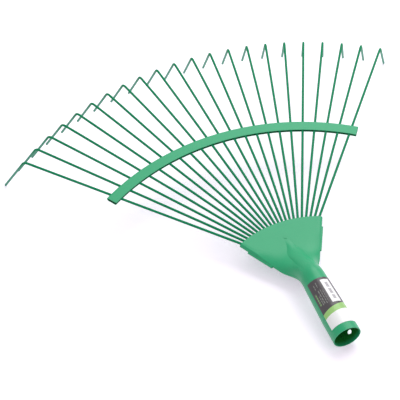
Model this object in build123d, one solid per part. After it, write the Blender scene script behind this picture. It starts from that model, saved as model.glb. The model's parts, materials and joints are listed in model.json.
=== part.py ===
from build123d import *
import os
from math import atan2, cos, degrees, radians, sin, sqrt, tan

# Wire leaf rake head: a fan of 22 round spring tines, clamped at their roots between a pressed
# sheet-metal socket plate and a flat clamp plate, and held apart by a folded spreader bar.
#
# Everything is laid out in the fan's own frame, in millimetres: the origin is the point where
# the centre lines of all tines would meet, +Y runs along the middle of the fan to the tips, +X is
# the right-hand side seen from above, and Z = 0 is the plane of the tine wires. At the end the
# whole head is tipped and lifted so that it lies on the ground: on its outer tips and the lower
# rim of its socket.

# ---- driving dimensions ----------------------------------------------------------------------
# tines
tine_count = 22
tine_pitch = 3.91            # degrees between neighbours
wire = 2.6                   # wire diameter
root_radius = 42.5           # where the roots end, measured from the meeting point
tine_reach = 310.5           # meeting point to the bend, on the middle of the fan
bend_line_radius = 337.2     # the bends lie on an arc, flatter than the fan's own
bend_radius = 8.0            # centre-line radius of the bend
hook_angle = 59.5            # how far the hook turns down out of the plane of the fan
hook_length = 61.7           # from the corner of the bend to the tip
tip_chamfer = 0.5

# sheet metal
sheet = 0.9                  # socket plate
clamp_sheet = 1.0
bar_sheet = 0.8
seat_gap = 0.05              # a wire and the plate above it
edge_gap = 0.1               # round the clamp plate: to the wires above it and the hems below
bar_gap = 0.15               # a wire and each leaf of the spreader bar
slot_gap = 0.1               # a wire and its hole in the fold of the bar

# socket: a rolled tube, straight at the mouth and then tapered
mouth_back = 99.1            # meeting point back to the mouth
bore_radius = 13.0
axis_height = 12.6           # socket axis above the plane of the wires
straight_length = 24.0
tube_length = 66.0
tail_radius = 12.2           # outer radius where the tube starts to open
tail_length = 8.0            # last stretch of round tube, blended into the funnel
seam_angle = 0.35            # half the gap at the seam, in degrees round the axis
screw_radius = 2.25          # hole for the screw that holds the handle
screw_back = 10.4            # mouth to screw hole
screw_turn = 38.0            # degrees round from the seam, so that it misses it

# fan plate, the flattened end of the socket plate
front_reach = 57.2           # meeting point to the front edge, on the middle
front_radius = 106.0
corner_width = 45.3          # half width at the front corners
corner_reach = 47.0
flare_angle = 28.5           # of the plate's sides
crease_width = 2.4           # outer tine out to the crease where the sides start to fall
side_fall = 0.25             # from that crease to the shoulder, over the wires
flank_fall = 1.5             # further fall of the shoulder behind the wire roots
flank_start = 31.5
flank_length = 16.0          # the fall is complete this far back from there
shoulder_width = 2.2         # shoulder in from the side, where the wall is at its full height
wall_turn = 36.0             # half the turn, in degrees, from the shoulder down to the edge

# funnel between tube and plate
cone_tip = 35.0              # the pressed cone dies out here
cone_slope = 0.36            # how fast its folds spread from the tip
cone_start = 0.8             # their half spacing at the tip
cone_power = 1.3             # how hollow the slope from tube to plate is, on the cone
cone_rise = 0.12             # share of the rise that is straight, so that the tip shows
crease_power = 1.6           # and along the creases
crease_swing = 6.0           # how quickly the creases close in on the tube
fold_turn = 40.0             # where the folds run out on the tube, degrees round from its top
crease_turn = 48.0           # where the creases run out
shoulder_turn = 96.0         # and the shoulders
throat_start = 0.0           # from here back the sheet's edges close in on the seam
plate_stations = (28.5, 22.0, 15.0, 7.5)
throat_stations = (-6.5, -13.0, -19.5)

# hems under the clamp plate
hem_start = 11.5
hem_end = 37.5
hem_width = 9.0              # sheet turned under the clamp plate
hem_bulge = 1.2              # how far its fold stands out past the side
clamp_back = 10.0            # rear edge of the clamp plate
clamp_inset = 2.0            # its sides, in from the sides of the socket plate

# rivet behind the wire roots
rivet_reach = 37.6
rivet_shank = 1.2
rivet_head = 1.9
rivet_rise = 0.3
rivet_gap = 0.05

# spreader bar, sitting a little askew on the wires that grip it
bar_reach = 193.1            # meeting point to its far edge
bar_shift = -4.0             # sideways
bar_skew = 3.1               # degrees, right end nearer the socket
bar_radius = 244.0           # far edge
bar_width = 12.5
bar_overhang = 6.5            # ends stand out this far past the outer tines
bar_lip = 1.0                # lower leaf is shorter than the upper one

# label on the socket
label_start = 7.9            # from the mouth
label_length = 55.9
label_half_angle = 60.0
label_thickness = 0.2
label_gap = 0.02

# ---- derived places --------------------------------------------------------------------------
mouth_radius = bore_radius + sheet
mouth_y = -mouth_back
tube_end = mouth_y + tube_length
funnel_start = tube_end + tail_length
seam_turn = 180 - seam_angle
tube_wall_turn = (seam_turn - shoulder_turn) / 2
plate_top = wire / 2 + seat_gap + sheet
clamp_top = -(wire / 2 + edge_gap)
clamp_bottom = clamp_top - clamp_sheet
side_edge = clamp_top + edge_gap
blank_front = front_reach + 2 * sheet
fan_half = tine_pitch * (tine_count - 1) / 2
bar_half_gap = wire / 2 + bar_gap
bar_half_height = bar_half_gap + bar_sheet


def tine_angles():
    """Angle of each tine from the middle of the fan, left to right."""
    return [radians(-fan_half + tine_pitch * i) for i in range(tine_count)]


def bend_distance(angle):
    """Meeting point to the bend of a tine, along the tine."""
    back = bend_line_radius - tine_reach
    return sqrt(bend_line_radius**2 - (back * sin(angle)) ** 2) - back * cos(angle)


def tube_radius(y):
    """Outer radius of the socket at y."""
    taper_start = mouth_y + straight_length
    if y <= taper_start:
        return mouth_radius
    share = (y - taper_start) / (funnel_start - taper_start)
    return mouth_radius + share * (tail_radius - mouth_radius)


def side_line(y):
    """Half width of the fan plate at y."""
    return corner_width - (corner_reach - y) * tan(radians(flare_angle))


def folded_strip(nose, top_start, low_start, gap, thickness):
    """Cross-section of folded sheet: two leaves with a gap between them and a half-round nose."""
    inner = gap / 2
    outer = inner + thickness
    bend = nose - outer
    with BuildSketch() as profile:
        with BuildLine():
            Polyline((bend, inner), (top_start, inner), (top_start, outer), (bend, outer))
            ThreePointArc((bend, outer), (nose, 0), (bend, -outer))
            Polyline((bend, -outer), (low_start, -outer), (low_start, -inner), (bend, -inner))
            ThreePointArc((bend, -inner), (bend + inner, 0), (bend, inner))
        make_face()
    return profile.sketch


# ---- tines -----------------------------------------------------------------------------------
def make_tine(angle):
    """One wire: straight from its root, bent once, and ending in a straight hook."""
    corner = bend_distance(angle)
    turn = radians(hook_angle)
    tip = (corner + hook_length * cos(turn), -hook_length * sin(turn))
    along = (sin(angle), cos(angle), 0)
    across = (cos(angle), -sin(angle), 0)
    with BuildLine(Plane(origin=(0, 0, 0), x_dir=along, z_dir=across)) as path:
        FilletPolyline((root_radius, 0), (corner, 0), tip, radius=bend_radius)
    start = Plane(origin=path.line @ 0, z_dir=path.line % 0)
    body = sweep(start * Circle(wire / 2), path=path.line)
    end_face = body.faces().sort_by(Axis.Z)[0]
    return chamfer(end_face.edges(), tip_chamfer)


# ---- socket plate ----------------------------------------------------------------------------
def arc_or_line(start, middle, end):
    """An arc through three points, or the straight line where they lie on one."""
    first = Vector(*middle) - Vector(*start)
    if first.cross(Vector(*end) - Vector(*start)).length < 1e-3:
        return Line(start, end)
    return ThreePointArc(start, middle, end)


def arc_middle(start, end, half_turn):
    """Middle of the arc from start to end that turns clockwise by twice the angle, in degrees."""
    run = end[0] - start[0]
    rise = end[1] - start[1]
    bulge = tan(radians(half_turn / 2)) / 2
    return ((start[0] + end[0]) / 2 - bulge * rise, (start[1] + end[1]) / 2 + bulge * run)


def between(first, second, share):
    """Point that lies this share of the way from the first to the second."""
    return tuple(a + share * (b - a) for a, b in zip(first, second))


def ease(share):
    """Share from 0 to 1 that starts and ends gently."""
    return share**2 * (3 - 2 * share)


def tube_point(y, turn):
    """Point on the outside of the round tube, in degrees round from its top."""
    radius = tube_radius(y)
    return (radius * sin(radians(turn)), axis_height + radius * cos(radians(turn)))


def section(y, key_points, share, wall_half_turn):
    """Slice at y through top, fold, crease, shoulder and edge, with arcs between them."""
    top, fold, crease, shoulder, edge = key_points
    flat = arc_middle(fold, crease, share * (crease_turn - fold_turn) / 2)
    flank = arc_middle(crease, shoulder, share * (shoulder_turn - crease_turn) / 2)
    side = arc_middle(shoulder, edge, wall_half_turn)
    return sheet_slice(y, [top, fold, flat, crease, flank, shoulder, side, edge])


def tube_section(y):
    """Section of the sheet where it is a round tube, with the seam at the bottom."""
    turns = (0, fold_turn, crease_turn, shoulder_turn, seam_turn)
    return section(y, [tube_point(y, turn) for turn in turns], 1, tube_wall_turn)


def plate_section(y):
    """Section of the funnel and of the fan plate, where the sheet is spread open."""
    left = max(cone_tip - y, 0)
    share = left / (cone_tip - funnel_start)
    crown, fold_end, crease_end, shoulder_end, seam = [
        tube_point(funnel_start, turn) for turn in (0, fold_turn, crease_turn, shoulder_turn, seam_turn)
    ]
    fallen = ease(min(max(flank_start - y, 0) / flank_length, 1))
    full_wall = plate_top - side_fall - side_edge
    wall = full_wall - fallen * flank_fall
    shoulder = (side_line(y) - shoulder_width * wall / full_wall, side_edge + wall)
    edge = (side_line(y), side_edge)
    closed = max(throat_start - y, 0) / (throat_start - funnel_start)
    if closed:
        shoulder = between(shoulder, shoulder_end, ease(closed))
        edge = between((side_line(throat_start), side_edge), seam, closed)
    crease_line = max(y, cone_tip) * tan(radians(fan_half)) + crease_width
    swing = (1 - share) ** crease_swing
    crease_x = crease_end[0] + (crease_line - crease_end[0]) * swing
    crease_z = plate_top + ease(share**crease_power) * (crease_end[1] - plate_top)
    crease = (min(crease_x, shoulder[0] - sheet / 2), crease_z)
    risen = cone_rise * share + (1 - cone_rise) * ease(share**cone_power)
    top = (0, plate_top + risen * (crown[1] - plate_top))
    spread = share * (fold_end[1] - crease_end[1]) / (crown[1] - crease_end[1])
    fold_x = min(cone_start + cone_slope * left, fold_end[0])
    fold = (fold_x, crease_z + spread * (top[1] - crease_z))
    wall_half_turn = wall_turn + share * (tube_wall_turn - wall_turn)
    return section(y, [top, fold, crease, shoulder, edge], share, wall_half_turn)


def inward_normals(start, middle, end):
    """Unit normals at the three points of an arc walked clockwise, pointing to its inner side."""
    first = Vector(*middle) - Vector(*start)
    whole = Vector(*end) - Vector(*start)
    turn = first.cross(whole).Z
    if abs(turn) < 1e-3:
        return [Vector(whole.Y, -whole.X).normalized()] * 3
    centre = ThreePointArc(start, middle, end).arc_center
    sign = 1 if turn < 0 else -1
    return [(centre - Vector(*point)).normalized() * sign for point in (start, middle, end)]


def sheet_slice(y, half):
    """Closed outline of the sheet at y, with its thickness laid inside the outer line."""
    mirrored = [(-x, z) for x, z in reversed(half[1:])]
    outer = mirrored + half
    starts = range(0, len(outer) - 2, 2)
    normals = [inward_normals(*outer[i : i + 3]) for i in starts]
    inner = []
    for i, point in enumerate(outer):
        before = max((i - 1) // 2, 0)
        after = min(i // 2, len(normals) - 1)
        first = normals[before][i - 2 * before]
        second = normals[after][i - 2 * after]
        shift = (first + second) * (sheet / (1 + first.dot(second)))
        inner.append((point[0] + shift.X, point[1] + shift.Y))
    outer = [(x, y, z) for x, z in outer]
    inner = [(x, y, z) for x, z in inner]
    edges = [arc_or_line(*outer[i : i + 3]) for i in starts]
    edges.append(Line(outer[-1], inner[-1]))
    edges += [arc_or_line(*inner[i : i + 3][::-1]) for i in reversed(starts)]
    edges.append(Line(inner[0], outer[0]))
    return Face(Wire(edges))


def wrapped(outer, inner, half_angle):
    """Sheet wrapped round the socket's axis, centred on its top. Its profile is given as (radius, y)."""
    with BuildPart() as sheet_part:
        with BuildSketch(Plane.XY):
            Polygon(*outer, *reversed(inner), align=None)
        revolve(axis=Axis.Y, revolution_arc=2 * half_angle)
    return Pos(0, 0, axis_height) * Rot(0, -90 - half_angle, 0) * sheet_part.part


def make_tube():
    """Round part of the socket: mouth, straight bore, taper, seam underneath and screw hole."""
    outer = [(tube_radius(y), y) for y in (mouth_y, mouth_y + straight_length, tube_end)]
    inner = [(r - sheet, y) for r, y in outer]
    screw = Pos(0, mouth_y + screw_back, axis_height) * Rot(0, -screw_turn, 0) * Pos(0, 0, -mouth_radius)
    return wrapped(outer, inner, seam_turn) - screw * Cylinder(screw_radius, 4 * sheet)


def front_trim():
    """Everything inside the curved front edge that both plates share."""
    return Pos(0, front_reach - front_radius, 0) * Cylinder(front_radius, 8 * mouth_radius)


def make_hem():
    """Strip on the right side of the sheet, folded back under the clamp plate."""
    flare = radians(flare_angle)
    gap = clamp_sheet + 2 * edge_gap
    stub = hem_bulge - gap / 2 - 2 * sheet
    across = Plane(
        origin=(side_line(hem_end), hem_end, (clamp_top + clamp_bottom) / 2),
        x_dir=(cos(flare), -sin(flare), 0),
        z_dir=(-sin(flare), -cos(flare), 0),
    )
    profile = across * folded_strip(hem_bulge, stub, -hem_width, gap, sheet)
    return extrude(profile, amount=(hem_end - hem_start) / cos(flare))


def rivet_hole():
    """Hole that the rivet fills in both plates."""
    return Pos(0, rivet_reach, 0) * Cylinder(rivet_shank + rivet_gap, 4 * plate_top)


def make_socket_plate():
    """Pressed sheet: round socket, funnel with a cone dying out on top, fan plate with side hems."""
    stations = sorted(throat_stations + (throat_start,) + plate_stations + (cone_tip,))
    slices = [tube_section(y) for y in (tube_end, funnel_start)]
    funnel = loft(slices + [plate_section(y) for y in stations])
    plate = loft([plate_section(y) for y in (cone_tip, blank_front)], ruled=True)
    shell = (make_tube() + funnel + plate) & front_trim()
    hem = make_hem()
    return shell + hem + mirror(hem, about=Plane.YZ) - rivet_hole()


def make_clamp_plate():
    """Flat plate under the wire roots, held at its sides by the hems."""
    corners = [(side_line(y) - clamp_inset, y) for y in (clamp_back, blank_front)]
    outline = corners + [(-x, y) for x, y in reversed(corners)]
    blank = extrude(Pos(0, 0, clamp_bottom) * Polygon(*outline, align=None), amount=clamp_sheet)
    return (blank & front_trim()) - rivet_hole()


def make_rivet():
    """Flat-headed rivet that closes both plates on the wires, just behind their roots."""
    length = plate_top - clamp_bottom
    shank = Cylinder(rivet_shank, length)
    head = Cylinder(rivet_head, rivet_rise)
    heads = [Pos(0, 0, end * (length + rivet_rise) / 2) * head for end in (-1, 1)]
    return Pos(0, rivet_reach, (plate_top + clamp_bottom) / 2) * (shank + heads)


# ---- spreader bar ----------------------------------------------------------------------------
def bar_centre():
    """Centre of the arc that the spreader bar is bent to."""
    skew = radians(bar_skew)
    return Vector(bar_shift - bar_radius * sin(skew), bar_reach - bar_radius * cos(skew))


def crossing(angle, radius):
    """Where a tine crosses the circle of this radius round the bar's centre."""
    centre = bar_centre()
    along = Vector(sin(angle), cos(angle))
    ahead = along.dot(centre)
    return along * (ahead + sqrt(ahead**2 - centre.dot(centre) + radius**2))


def bar_end_angle():
    """Half of the bar's arc in degrees: out to the outer tines and past them."""
    ends = [crossing(angle, bar_radius) - bar_centre() for angle in tine_angles()]
    turns = [abs(degrees(atan2(end.X, end.Y)) - bar_skew) for end in ends]
    return max(turns) + degrees(bar_overhang / bar_radius)


def make_spreader_bar():
    """Strip folded lengthwise over the wires, open towards the socket, bent to an arc."""
    near = bar_radius - bar_width
    half_angle = bar_end_angle()
    profile = folded_strip(bar_radius, near, near + bar_lip, 2 * bar_half_gap, bar_sheet)
    strip = revolve(Plane.XZ * profile, axis=Axis.Z, revolution_arc=2 * half_angle)
    centre = bar_centre()
    strip = Pos(centre.X, centre.Y, 0) * Rot(0, 0, 90 - bar_skew - half_angle) * strip
    holes = []
    for angle in tine_angles():
        start = crossing(angle, bar_radius - bar_half_height)
        across = Plane(origin=start, z_dir=(sin(angle), cos(angle), 0))
        holes.append(extrude(across * Circle(wire / 2 + slot_gap), amount=2 * bar_half_height))
    return strip - holes


# ---- label -----------------------------------------------------------------------------------
def make_label():
    """Film label wrapped over the top of the socket."""
    ends = (mouth_y + label_start, mouth_y + straight_length, mouth_y + label_start + label_length)
    inner = [(tube_radius(y) + label_gap, y) for y in ends]
    outer = [(r + label_thickness, y) for r, y in inner]
    return wrapped(outer, inner, label_half_angle)


# ---- assembly --------------------------------------------------------------------------------
def resting_tilt():
    """Angle between the fan and the ground when the socket's rim and the outer tips touch it."""
    outer = radians(fan_half)
    turn = radians(hook_angle)
    under = wire / 2 - tip_chamfer
    tip_y = cos(outer) * (bend_distance(outer) + hook_length * cos(turn) - under * sin(turn))
    tip_z = -hook_length * sin(turn) - under * cos(turn)
    rim_z = axis_height - mouth_radius
    return degrees(atan2(rim_z - tip_z, tip_y - mouth_y))


pieces = {"socket_plate": make_socket_plate(), "clamp_plate": make_clamp_plate()}
for number, angle in enumerate(tine_angles(), start=1):
    pieces[f"tine_{number:02d}"] = make_tine(angle)
pieces["spreader_bar"] = make_spreader_bar()
pieces["clamp_rivet"] = make_rivet()
pieces["socket_label"] = make_label()

tilt = Rot(resting_tilt(), 0, 0)
pieces = {name: tilt * piece for name, piece in pieces.items()}
box = Compound(children=[Compound(piece.solids()) for piece in pieces.values()]).bounding_box()
lift = Pos(-box.center().X, -box.center().Y, -box.min.Z)
os.makedirs("parts", exist_ok=True)
for name, piece in pieces.items():
    export_step(lift * piece, f"parts/{name}.step")
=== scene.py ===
"""Looks of the wire leaf rake head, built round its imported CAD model. Metres, in the row frame."""

import json
from math import atan2, degrees, radians

import bpy
from mathutils import Euler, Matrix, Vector

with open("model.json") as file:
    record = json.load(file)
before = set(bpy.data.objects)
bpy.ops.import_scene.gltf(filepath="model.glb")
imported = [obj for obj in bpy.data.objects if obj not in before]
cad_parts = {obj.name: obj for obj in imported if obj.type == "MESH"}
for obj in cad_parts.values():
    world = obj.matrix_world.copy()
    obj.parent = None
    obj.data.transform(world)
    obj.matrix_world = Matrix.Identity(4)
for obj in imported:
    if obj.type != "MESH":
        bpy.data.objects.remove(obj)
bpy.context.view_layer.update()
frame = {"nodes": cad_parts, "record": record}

# ---- what the CAD and the record say ---------------------------------------------------------
nodes = frame["nodes"]
tines = sorted(name for name in nodes if name.startswith("tine_"))
mounts = {mount["name"]: mount for mount in frame["record"]["mounts"]}
socket = mounts["handle_socket"]
socket_out = Vector(socket["axis"]).normalized()
socket_bore = socket["dims"]["r_mm"] / 1000
bore_end = -socket["dims"]["length_mm"] / 1000
taper_end = bore_end - 0.050
taper_fall = 0.0017
wall_margin = 0.0004         # how far inside the sheet its inner face still counts
axis_height = 0.0126         # socket axis above the plane of the wires
leaf_height = 0.0016         # inner faces of the bar's leaves from that plane, and a little more
socket_mouth = Vector(socket["pos_m"]) + socket_out * socket["dims"]["length_mm"] / 2000
socket_right = Vector((1, 0, 0))
socket_top = socket_right.cross(-socket_out)

# ---- colours, as the object shows them in plain light ----------------------------------------
plate_green = (0.022, 0.405, 0.180)
plate_deep_green = (0.016, 0.375, 0.165)
# painted shade: the darker green on the folded bar's inner faces, between its leaves
shaded_green = (0.002, 0.090, 0.030)
# painted shade: the darker green inside the socket's bore
bore_shade_green = (0.000, 0.190, 0.018)
wire_green = (0.002, 0.240, 0.102)
hook_green = (0.095, 0.350, 0.240)
label_dark = (0.062, 0.052, 0.060)
label_white = (0.95, 0.95, 0.96)
label_stripe = (0.34, 0.62, 0.19)
label_bright_ink = (0.22, 0.36, 0.16)
label_ink = (0.26, 0.27, 0.25)
label_grey = (0.38, 0.35, 0.40)
floor_shade = (0.90, 0.89, 0.92)
floor_glow = (0.42, 0.36, 0.44)  # what the floor adds to its lit colour, where it is looked at
far_floor_glow = (0.55, 0.55, 0.55)

# ---- coats and floor -------------------------------------------------------------------------
sheet_roughness, sheet_specular = 0.36, 0.38
hollow_roughness = 0.5       # what a hollow adds to the sheet's roughness
wire_roughness, wire_specular = 0.45, 0.12
film_roughness, film_specular = 0.3, 0.5
floor_roughness, floor_specular = 0.9, 0.1
mottle_scale, sheet_grain_scale, wire_grain_scale = 60, 900, 1400  # noise, per metre
sheet_grain_depth, wire_grain_depth = 0.00004, 0.00003
hook_start, hook_end = 0.002, 0.018  # below the plane of the wires, where their colour changes
bore_fade = 0.005            # from the mouth in to where the painted shade starts
near_floor, far_floor = 0.35, 0.80  # distance from the origin over which the floor's glow changes

# ---- print on the label: millimetres from the mouth, degrees round the tube from its top -----
stripe_start = (22.5, 0.035)     # at the top of the tube, and how much more per degree
panel_start = (28.9, 0.052)
pale_panel = (1, 42, 32.6, 61)   # left, right, low, high
pale_bars = ((36, 41), (43, 49), (51, 57))  # low, high
pale_bar_sides = (14, 27)
pale_bar_pitch = 1.3
block_share = 0.78               # how much of its pitch a block of print fills
small_print = (                  # left, width, low, high, pitch of its blocks, ink
    (-50, 7, 35, 49, 2.7, label_bright_ink),
    (-37, 3, 34, 45, 3.1, label_ink),
    (-37, 3, 52, 59, 3.1, label_ink),
    (-30, 4, 35, 51, 4.3, label_ink),
    (-24, 3, 54, 60, 2.9, label_ink),
    (-20, 3, 34, 52, 3.7, label_ink),
    (-12, 2, 35, 50, 3.3, label_ink),
)


# ---- small shader helpers --------------------------------------------------------------------
class Shading:
    """A node tree with short ways to add nodes to it. Inputs are sockets or plain values."""

    def __init__(self, tree):
        self.nodes = tree.nodes
        self.links = tree.links

    def add(self, kind, inputs=(), output=0, **settings):
        """Adds a node and returns one of its outputs. Inputs go by name in a dict, or in order."""
        node = self.nodes.new(kind)
        for name, value in settings.items():
            setattr(node, name, value)
        pairs = inputs.items() if isinstance(inputs, dict) else enumerate(inputs)
        for key, value in pairs:
            self.set(node.inputs[key], value)
        return node.outputs[output]

    def set(self, target, value):
        """Links a socket, or writes a plain value."""
        if isinstance(value, bpy.types.NodeSocket):
            self.links.new(value, target)
        else:
            target.default_value = value

    def math(self, operation, *values):
        """Math node."""
        return self.add("ShaderNodeMath", values, operation=operation)

    def vector(self, operation, *values):
        """Vector math node. A dot product or a length comes back as a number."""
        output = "Value" if operation in ("DOT_PRODUCT", "LENGTH") else "Vector"
        return self.add("ShaderNodeVectorMath", values, output, operation=operation)

    def mix(self, factor, first, second):
        """Mix of two colours, each a socket or a plain colour."""
        node = self.nodes.new("ShaderNodeMix")
        node.data_type = "RGBA"
        self.links.new(factor, node.inputs["Factor"])
        for name, value in (("A", first), ("B", second)):
            target = next(s for s in node.inputs if s.name == name and s.type == "RGBA")
            self.set(target, (*value, 1) if isinstance(value, tuple) else value)
        return next(s for s in node.outputs if s.type == "RGBA")

    def fade(self, value, start, end):
        """0 to 1 as the value goes from start to end, held there outside them."""
        return self.add("ShaderNodeMapRange", {"Value": value, "From Min": start, "From Max": end})

    def place(self):
        """Where a point lies on the object."""
        return self.add("ShaderNodeTexCoord", output="Object")

    def noise(self, scale):
        """Noise fixed to the object, scaled per metre."""
        return self.add("ShaderNodeTexNoise", {"Vector": self.place(), "Scale": scale})

    def bump(self, height, depth, strength):
        """Normal that follows a height map, its depth in metres."""
        inputs = {"Height": height, "Distance": depth, "Strength": strength}
        return self.add("ShaderNodeBump", inputs)

    def looked_at(self):
        """1 where the camera, a mirror or glass looks at a surface, 0 for the light it scatters."""
        path = self.nodes.new("ShaderNodeLightPath")
        camera, glossy, through = (
            path.outputs[f"Is {kind} Ray"] for kind in ("Camera", "Glossy", "Transmission")
        )
        return self.math("MAXIMUM", camera, self.math("MAXIMUM", glossy, through))


def new_material(name, roughness, specular):
    """A material with a Principled shader. Returns the material, its Shading and the shader."""
    material = bpy.data.materials.new(name)
    material.use_nodes = True
    shader = material.node_tree.nodes["Principled BSDF"]
    shader.inputs["Roughness"].default_value = roughness
    shader.inputs["Specular IOR Level"].default_value = specular
    return material, Shading(material.node_tree), shader


# ---- materials -------------------------------------------------------------------------------
def from_mouth(shading):
    """Where a point lies, seen from the middle of the socket's mouth."""
    return shading.vector("SUBTRACT", shading.place(), socket_mouth)


def inside_socket(shading):
    """0 on the outside, rising to 1 just inside the socket's mouth: where shade is painted into the
    coat.
    """
    offset = from_mouth(shading)
    out = shading.vector("DOT_PRODUCT", offset, socket_out)
    along = shading.add("ShaderNodeVectorMath", {0: socket_out, "Scale": out}, operation="SCALE")
    radius = shading.vector("LENGTH", shading.vector("SUBTRACT", offset, along))
    taper = shading.math("MULTIPLY", shading.fade(out, bore_end, taper_end), taper_fall)
    reach = shading.math("ADD", radius, taper)
    within = shading.math("LESS_THAN", reach, socket_bore + wall_margin)
    past_mouth = shading.fade(out, 0, -bore_fade)
    before_funnel = shading.fade(out, taper_end, bore_end)
    return shading.math("MULTIPLY", within, shading.math("MULTIPLY", past_mouth, before_funnel))


def above_wires(shading):
    """How far a point lies above the plane of the wires."""
    up = shading.vector("DOT_PRODUCT", from_mouth(shading), socket_top)
    return shading.math("ADD", up, axis_height)


def between_leaves(shading):
    """1 on the inner faces of the folded bar, which look at the wires between them; shade is painted
    there.
    """
    height = shading.math("ABSOLUTE", above_wires(shading))
    normal = shading.add("ShaderNodeNewGeometry", output="Normal")
    facing = shading.math("ABSOLUTE", shading.vector("DOT_PRODUCT", normal, socket_top))
    level = shading.math("GREATER_THAN", facing, 0.9)
    return shading.math("MULTIPLY", level, shading.math("LESS_THAN", height, leaf_height))


def sheet_coat(name, hollow, painted_shade_green):
    """Semi-gloss green coat on sheet parts, with shade painted into its colour in a hollow, which is
    also made rougher.
    """
    material, shading, shader = new_material(name, sheet_roughness, sheet_specular)
    mottled = shading.mix(shading.noise(mottle_scale), plate_deep_green, plate_green)
    depth = hollow(shading)
    colour = shading.mix(depth, mottled, painted_shade_green)
    roughness = shading.math("MULTIPLY_ADD", depth, hollow_roughness, sheet_roughness)
    shading.set(shader.inputs["Roughness"], roughness)
    shading.set(shader.inputs["Base Color"], colour)
    grain = shading.bump(shading.noise(sheet_grain_scale), sheet_grain_depth, 0.25)
    shading.set(shader.inputs["Normal"], grain)
    return material


def wire_coat():
    """The darker coat of the wires; their colour turns paler and greyer down the hooks."""
    material, shading, shader = new_material("wire_coat", wire_roughness, wire_specular)
    hooked = shading.fade(above_wires(shading), -hook_start, -hook_end)
    colour = shading.mix(hooked, wire_green, hook_green)
    shading.set(shader.inputs["Base Color"], colour)
    grain = shading.bump(shading.noise(wire_grain_scale), wire_grain_depth, 0.2)
    shading.set(shader.inputs["Normal"], grain)
    return material


def label_film():
    """Printed film: dark panel with a pale one on it, a slanted light stripe and a white end."""
    material, shading, shader = new_material("label_film", film_roughness, film_specular)
    uv = shading.add("ShaderNodeUVMap", uv_map="around_and_along")
    around = shading.add("ShaderNodeSeparateXYZ", [uv], output="X")
    along = shading.add("ShaderNodeSeparateXYZ", [uv], output="Y")

    def above(line, slope):
        """1 further from the mouth than a line that climbs to the right."""
        edge = shading.math("MULTIPLY_ADD", around, slope, line)
        return shading.math("GREATER_THAN", along, edge)

    def between(value, low, high):
        """1 where a value lies between two others."""
        over = shading.math("GREATER_THAN", value, low)
        return shading.math("MULTIPLY", over, shading.math("LESS_THAN", value, high))

    def box(left, right, low, high):
        """1 inside a box given in degrees round the tube and millimetres from the mouth."""
        return shading.math("MULTIPLY", between(around, left, right), between(along, low, high))

    def dashes(left, right, low, high, pitch):
        """The same box, broken into blocks along the tube."""
        step = shading.math("FRACT", shading.math("DIVIDE", along, pitch))
        block = shading.math("LESS_THAN", step, block_share)
        return shading.math("MULTIPLY", box(left, right, low, high), block)

    colour = shading.mix(above(*stripe_start), label_white, label_stripe)
    colour = shading.mix(above(*panel_start), colour, label_dark)
    colour = shading.mix(box(*pale_panel), colour, label_white)
    for low, high in pale_bars:
        colour = shading.mix(dashes(*pale_bar_sides, low, high, pale_bar_pitch), colour, label_grey)
    for left, width, low, high, pitch, ink in small_print:
        colour = shading.mix(dashes(left, left + width, low, high, pitch), colour, ink)
    shading.set(shader.inputs["Base Color"], colour)
    return material


def map_label(label):
    """UV map of the label: degrees round the tube from its top, and millimetres from the mouth."""
    layer = label.data.uv_layers.new(name="around_and_along")
    for loop in label.data.loops:
        place = label.data.vertices[loop.vertex_index].co - socket_mouth
        turn = degrees(atan2(place.dot(socket_right), place.dot(socket_top)))
        layer.data[loop.index].uv = (turn, -place.dot(socket_out) * 1000)


def paint(names, material):
    """Gives CAD nodes one material."""
    for name in names:
        nodes[name].data.materials.clear()
        nodes[name].data.materials.append(material)


# painted shade inside the socket's bore
plate_coat = sheet_coat("plate_coat", inside_socket, bore_shade_green)
paint(["socket_plate", "clamp_plate", "clamp_rivet"], plate_coat)
# painted shade on the bar's inner faces, between its leaves
paint(["spreader_bar"], sheet_coat("bar_coat", between_leaves, shaded_green))
paint(tines, wire_coat())
map_label(nodes["socket_label"])
paint(["socket_label"], label_film())


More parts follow.
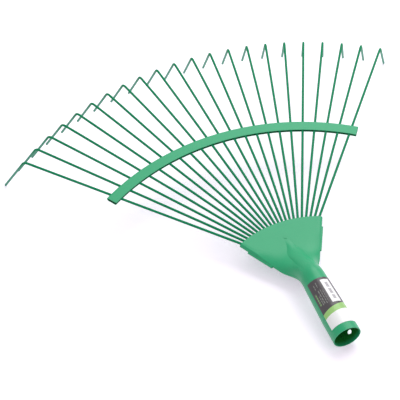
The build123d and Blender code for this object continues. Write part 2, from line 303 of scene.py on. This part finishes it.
# ---- floor, light and camera -----------------------------------------------------------------
def make_floor():
    """Plain floor that scatters light as a pale surface, and looks white but for the shadow."""
    bpy.ops.mesh.primitive_plane_add(size=12, location=(0, 0, -0.0002))
    floor = bpy.context.object
    floor.name = "floor"
    material, shading, shader = new_material("floor_white", floor_roughness, floor_specular)
    shader.inputs["Base Color"].default_value = (*floor_shade, 1)
    far = shading.fade(shading.vector("LENGTH", shading.place()), near_floor, far_floor)
    glow_colour = shading.mix(far, floor_glow, far_floor_glow)
    glow = shading.add("ShaderNodeEmission", {"Color": glow_colour})
    lit = shading.add("ShaderNodeAddShader", [shader.outputs["BSDF"], glow])
    shown = shading.add("ShaderNodeMixShader", [shading.looked_at(), shader.outputs["BSDF"], lit])
    shading.set(shading.nodes["Material Output"].inputs["Surface"], shown)
    floor.data.materials.append(material)


def make_area_light(name, place, size, power, target=(0, 0, 0)):
    """Square soft light that faces the target."""
    data = bpy.data.lights.new(name, "AREA")
    data.size = size
    data.energy = power
    light = bpy.data.objects.new(name, data)
    bpy.context.scene.collection.objects.link(light)
    light.location = place
    light.rotation_euler = (Vector(target) - Vector(place)).to_track_quat("-Z", "Y").to_euler()


def make_world(strength):
    """Even white surroundings, at full white where they are looked at."""
    world = bpy.data.worlds.new("studio")
    world.use_nodes = True
    shading = Shading(world.node_tree)
    background = shading.nodes["Background"]
    background.inputs["Color"].default_value = (1, 1, 1, 1)
    shown = shading.math("MAXIMUM", shading.looked_at(), strength)
    shading.set(background.inputs["Strength"], shown)
    bpy.context.scene.world = world


def make_camera():
    """Camera at the photograph's viewing angle."""
    data = bpy.data.cameras.new("camera")
    data.sensor_width = 36
    data.lens = 124.64
    camera = bpy.data.objects.new("camera", data)
    bpy.context.scene.collection.objects.link(camera)
    camera.location = (-0.3700, -0.99234, 0.98875)
    camera.rotation_euler = Euler([radians(angle) for angle in (47.053, 4.767, -21.934)])
    bpy.context.scene.camera = camera


make_floor()
make_world(0.6)
make_area_light("key", (0.85, 0.6, 1.45), 1.5, 20)
make_camera()
bpy.context.scene.view_settings.view_transform = "Standard"
